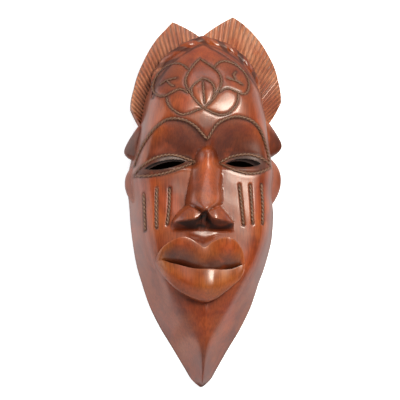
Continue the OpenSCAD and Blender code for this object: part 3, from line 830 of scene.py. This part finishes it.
# Object coordinates are in metres. Patches of stain are 30 to 50 mm across, and a streak of the
# grain is about 1.5 mm by 35 mm, drawn a little coarser than the real pores so that it shows.
patches = node(tree, "ShaderNodeTexNoise", Vector=place, Scale=21.0, Detail=3.0, Roughness=0.6, Distortion=0.5)
blush = node(tree, "ShaderNodeTexNoise", Vector=place, Scale=33.0, Detail=2.0, Roughness=0.5, Distortion=0.8)
long_way = node(tree, "ShaderNodeMapping", Vector=place, Scale=(620.0, 620.0, 27.0))
grain = node(tree, "ShaderNodeTexNoise", Vector=long_way.outputs["Vector"], Scale=1.0, Detail=5.0, Roughness=0.62)
laid = node(tree, "ShaderNodeAttribute", {"attribute_name": "stain"}).outputs["Color"]
cloudy = node(tree, "ShaderNodeValToRGB", {"stops": [
    (0.34, srgb("#c9a497")), (0.46, srgb("#dfc6b8")), (0.58, srgb("#f2e2d2")), (0.70, srgb("#ffffff"))]},
    Fac=patches.outputs["Fac"])
# A mix node's sockets: i0 is how much, i6 and i7 are the two colours, and the mixed colour is output 2
TIMES = {"data_type": "RGBA", "blend_type": "MULTIPLY"}
BLEND = {"data_type": "RGBA", "blend_type": "MIX"}
stained = node(tree, "ShaderNodeMix", TIMES, i0=1.0, i6=laid, i7=cloudy.outputs["Color"]).outputs[2]
warm = node(tree, "ShaderNodeValToRGB", {"stops": [(0.54, (0, 0, 0, 1)), (0.74, (0.5, 0.5, 0.5, 1))]},
            Fac=blush.outputs["Fac"])
stained = node(tree, "ShaderNodeMix", BLEND, i0=warm.outputs["Color"], i6=stained, i7=srgb("#a04620")).outputs[2]
streak = node(tree, "ShaderNodeValToRGB", {"stops": [(0.34, srgb("#a8a29c")), (0.60, srgb("#ffffff"))]},
              Fac=grain.outputs["Fac"])
waxed = node(tree, "ShaderNodeMix", TIMES, i0=0.6, i6=stained, i7=streak.outputs["Color"]).outputs[2]
wax = node(tree, "ShaderNodeAttribute", {"attribute_name": "wax"}).outputs["Fac"]
rough = node(tree, "ShaderNodeMapRange", Value=grain.outputs["Fac"])
rough.inputs["To Min"].default_value = 0.30
rough.inputs["To Max"].default_value = 0.42
rougher = node(tree, "ShaderNodeMath", {"operation": "MULTIPLY_ADD"}, i0=wax, i1=0.3, i2=rough.outputs["Result"])
bump = node(tree, "ShaderNodeBump", Height=grain.outputs["Fac"], Strength=0.10, Distance=0.0004)
shader = node(tree, "ShaderNodeBsdfPrincipled", Base_Color=waxed, Roughness=rougher.outputs[0],
              Normal=bump.outputs["Normal"])
shader.inputs["IOR"].default_value = 1.5
polish = node(tree, "ShaderNodeMapRange", Value=wax)
polish.inputs["To Min"].default_value = 0.35
polish.inputs["To Max"].default_value = 0.0
tree.links.new(polish.outputs["Result"], shader.inputs["Coat Weight"])
shader.inputs["Coat Roughness"].default_value = 0.18
node(tree, "ShaderNodeOutputMaterial", Surface=shader.outputs["BSDF"])
head.data.materials.clear()
head.data.materials.append(wood)

# Dark wax and painted shade in the notches of the ropes, and the tops a dull brown, partly worn and partly a painted
# highlight
rope_wax_and_shade = bpy.data.materials.new("rope_wax_and_painted_light")
rope_wax_and_shade.use_nodes = True
tree = rope_wax_and_shade.node_tree
tree.nodes.clear()
place = node(tree, "ShaderNodeTexCoord").outputs["Object"]
wear = node(tree, "ShaderNodeTexNoise", Vector=place, Scale=70.0, Detail=3.0)
# Pointiness picks the notches for the painted shade and the tops for the lighter brown
proud = node(tree, "ShaderNodeNewGeometry").outputs["Pointiness"]
tops = node(tree, "ShaderNodeMapRange", Value=proud)
tops.inputs["From Min"].default_value = 0.485
tops.inputs["From Max"].default_value = 0.55
cord = node(tree, "ShaderNodeMix", BLEND, i0=tops.outputs["Result"], i6=srgb("#1a0d07"),
            i7=srgb("#74503b")).outputs[2]
dulled = node(tree, "ShaderNodeValToRGB", {"stops": [(0.3, srgb("#9a8a80")), (0.7, srgb("#ffffff"))]},
              Fac=wear.outputs["Fac"])
cord = node(tree, "ShaderNodeMix", TIMES, i0=0.5, i6=cord, i7=dulled.outputs["Color"]).outputs[2]
shader = node(tree, "ShaderNodeBsdfPrincipled", Base_Color=cord)
shader.inputs["Roughness"].default_value = 0.5
shader.inputs["IOR"].default_value = 1.5
node(tree, "ShaderNodeOutputMaterial", Surface=shader.outputs["BSDF"])
ropes.data.materials.append(rope_wax_and_shade)

# ---------------------------------------------------------------------------
# The hanger's strap. Steel strip, sheared and folded, then zinc plated, so it is
# bright and slightly blue with the rolling lines of the strip still showing.
# ---------------------------------------------------------------------------


def zinc_plate(name, tone, lines, dullest):
    """Bright zinc on steel: cloudy passivation over fine lines left by the forming."""
    metal = bpy.data.materials.new(name)
    metal.use_nodes = True
    tree = metal.node_tree
    tree.nodes.clear()
    place = node(tree, "ShaderNodeTexCoord").outputs["Object"]
    cloud = node(tree, "ShaderNodeTexNoise", Vector=place, Scale=260.0, Detail=3.0)
    stretched = node(tree, "ShaderNodeMapping", Vector=place, Scale=lines)
    drawn = node(tree, "ShaderNodeTexNoise", Vector=stretched.outputs["Vector"], Scale=1.0, Detail=4.0)
    colour = node(tree, "ShaderNodeValToRGB", {"stops": [
        (0.35, srgb("#8f9498")), (0.5, srgb(tone)), (0.7, srgb("#d5d4cc"))]}, Fac=cloud.outputs["Fac"])
    rough = node(tree, "ShaderNodeMapRange", Value=drawn.outputs["Fac"])
    rough.inputs["To Min"].default_value = 0.2
    rough.inputs["To Max"].default_value = dullest
    ridged = node(tree, "ShaderNodeBump", Height=drawn.outputs["Fac"], Strength=0.15, Distance=0.00008)
    shader = node(tree, "ShaderNodeBsdfPrincipled", Base_Color=colour.outputs["Color"],
                  Roughness=rough.outputs["Result"], Normal=ridged.outputs["Normal"])
    shader.inputs["Metallic"].default_value = 1.0
    node(tree, "ShaderNodeOutputMaterial", Surface=shader.outputs["BSDF"])
    return metal


strap = bpy.data.objects["hanger_strap"]
strap.data.materials.clear()
# Rolled strip: lines 0.15 mm apart along the strap's height
strap.data.materials.append(zinc_plate("zinc_plated_strip", "#b4b9be", (6500.0, 900.0, 120.0), 0.42))

# ---------------------------------------------------------------------------
# The hanger's ring. Drawn steel wire bent round and closed in the strap's loop,
# zinc plated with the strap, smoother and brighter than the strip.
# ---------------------------------------------------------------------------
ring = bpy.data.objects["hanger_ring"]
ring.data.materials.clear()
ring.data.materials.append(zinc_plate("zinc_plated_wire", "#c2c6c8", (1500.0, 1500.0, 1500.0), 0.32))

# ---------------------------------------------------------------------------
# The two screws. Steel wood screws with low raised heads and a cross cut, zinc
# plated and a little duller where the driver and the tumbling have marked them.
# ---------------------------------------------------------------------------
head_of_screw = zinc_plate("zinc_plated_screw", "#a9a99f", (2600.0, 2600.0, 2600.0), 0.5)
for name in ("hanger_screw_upper", "hanger_screw_lower"):
    screw = bpy.data.objects[name]
    screw.data.materials.clear()
    screw.data.materials.append(head_of_screw)

# ---------------------------------------------------------------------------
# Camera and light. A long lens from a little below and to the left of the face,
# with one small box in front for the shine and broad soft ones at the sides.
# ---------------------------------------------------------------------------
lens = bpy.data.cameras.new("camera")
camera = bpy.data.objects.new("camera", lens)
bpy.context.collection.objects.link(camera)
lens.lens = 800
lens.sensor_width = 36
lens.clip_end = 40
aim = Vector((0, 0, CHIN + 0.2575))
azimuth, elevation = math.radians(5.5), math.radians(8)
toward = Vector((math.sin(azimuth) * math.cos(elevation), math.cos(azimuth) * math.cos(elevation),
                 math.sin(elevation)))
camera.location = aim - toward * 12.04
camera.rotation_euler = toward.to_track_quat("-Z", "Y").to_euler()
bpy.context.scene.camera = camera

world = bpy.data.worlds.new("studio")
bpy.context.scene.world = world
world.use_nodes = True
sky = world.node_tree
sky.nodes.clear()
seen = node(sky, "ShaderNodeLightPath").outputs["Is Camera Ray"]
up = node(sky, "ShaderNodeSeparateXYZ", Vector=node(sky, "ShaderNodeTexCoord").outputs["Generated"]).outputs["Z"]
glow = node(sky, "ShaderNodeMapRange", Value=up)
for name, value in (("From Min", -0.2), ("From Max", 1.0), ("To Min", 0.02), ("To Max", 0.55)):
    glow.inputs[name].default_value = value
bright = node(sky, "ShaderNodeBackground", Color=(1, 1, 1, 1), Strength=1.0)
dim = node(sky, "ShaderNodeBackground", Color=(1, 1, 1, 1), Strength=glow.outputs["Result"])
mix = node(sky, "ShaderNodeMixShader", Fac=seen)
sky.links.new(dim.outputs[0], mix.inputs[1])
sky.links.new(bright.outputs[0], mix.inputs[2])
node(sky, "ShaderNodeOutputWorld", Surface=mix.outputs[0])


def soft_box(name, location, target, width, height, power, colour=(1, 1, 1)):
    data = bpy.data.lights.new(name, "AREA")
    data.shape = "RECTANGLE"
    data.size, data.size_y = width, height
    data.energy = power
    data.color = colour
    lamp = bpy.data.objects.new(name, data)
    bpy.context.collection.objects.link(lamp)
    lamp.location = location
    lamp.rotation_euler = (Vector(target) - Vector(location)).to_track_quat("-Z", "Y").to_euler()


middle = (0, -0.05, CHIN + 0.26)
soft_box("left_box", (-1.2, 0.35, CHIN + 0.3), middle, 1.0, 1.6, 9.5, (1, 0.78, 0.74))
soft_box("right_box", (1.2, 0.35, CHIN + 0.3), middle, 1.0, 1.6, 6, (1, 0.78, 0.72))
soft_box("left_rim", (-0.75, 1.05, CHIN + 0.3), middle, 0.8, 1.6, 2.8, (1, 0.92, 0.9))
soft_box("right_rim", (0.8, 1.0, CHIN + 0.3), middle, 0.8, 1.6, 2.2, (1, 0.92, 0.9))
soft_box("left_fill", (-1.6, -0.6, CHIN + 0.5), middle, 0.9, 1.4, 8, (1, 0.9, 0.84))
soft_box("front_box", (0.60, -1.72, CHIN + 0.80), middle, 0.7, 0.7, 48, (1, 0.92, 0.8))
soft_box("top_box", (0.1, -1.0, CHIN + 1.9), middle, 0.9, 0.6, 4)
bpy.context.scene.view_settings.view_transform = "Standard"

deselect()
bpy.ops.mesh.primitive_plane_add(size=6, location=(0, 0, CHIN - 1.2))
ground = bpy.context.object
ground.name = "studio_floor"

deselect()
bpy.ops.mesh.primitive_plane_add(size=2.4, location=(0, 0.0015, CHIN + 0.25), rotation=(math.radians(90), 0, 0))
wall = bpy.context.object
wall.name = "studio_wall"
wall.visible_diffuse = wall.visible_glossy = wall.visible_shadow = wall.visible_transmission = False
paper = bpy.data.materials.new("studio_paper")
paper.use_nodes = True
tree = paper.node_tree
tree.nodes.clear()
behind = node(tree, "ShaderNodeNewGeometry").outputs["Backfacing"]
# The paper glows a little, as painted light that pales the shadows on it, and has a patch of painted shade, near
# black, where the eye slits look on it
spread = node(tree, "ShaderNodeMapping", Vector=node(tree, "ShaderNodeTexCoord").outputs["Object"],
              Location=(0, -0.057 / 0.05, 0), Scale=(1 / 0.096, 1 / 0.05, 0))
away = node(tree, "ShaderNodeVectorMath", {"operation": "LENGTH"}, i0=spread.outputs["Vector"])
open_wall = node(tree, "ShaderNodeMapRange", Value=away.outputs["Value"])
for name, value in (("From Min", 0.9), ("From Max", 1.0), ("To Min", 0.0), ("To Max", 0.8)):
    open_wall.inputs[name].default_value = value
shade = node(tree, "ShaderNodeMix", BLEND, i0=open_wall.outputs["Result"], i6=(0.01, 0.01, 0.01, 1),
             i7=(1.0, 1.0, 1.0, 1))
paint = node(tree, "ShaderNodeBsdfDiffuse", Color=shade.outputs[2])
lit = node(tree, "ShaderNodeEmission", Color=(0.92, 0.97, 1, 1), Strength=open_wall.outputs["Result"])
matt = node(tree, "ShaderNodeAddShader", i0=paint.outputs[0], i1=lit.outputs[0])
clear = node(tree, "ShaderNodeBsdfTransparent")
mix = node(tree, "ShaderNodeMixShader", Fac=behind)
tree.links.new(matt.outputs[0], mix.inputs[1])
tree.links.new(clear.outputs[0], mix.inputs[2])
node(tree, "ShaderNodeOutputMaterial", Surface=mix.outputs[0])
wall.data.materials.append(paper)
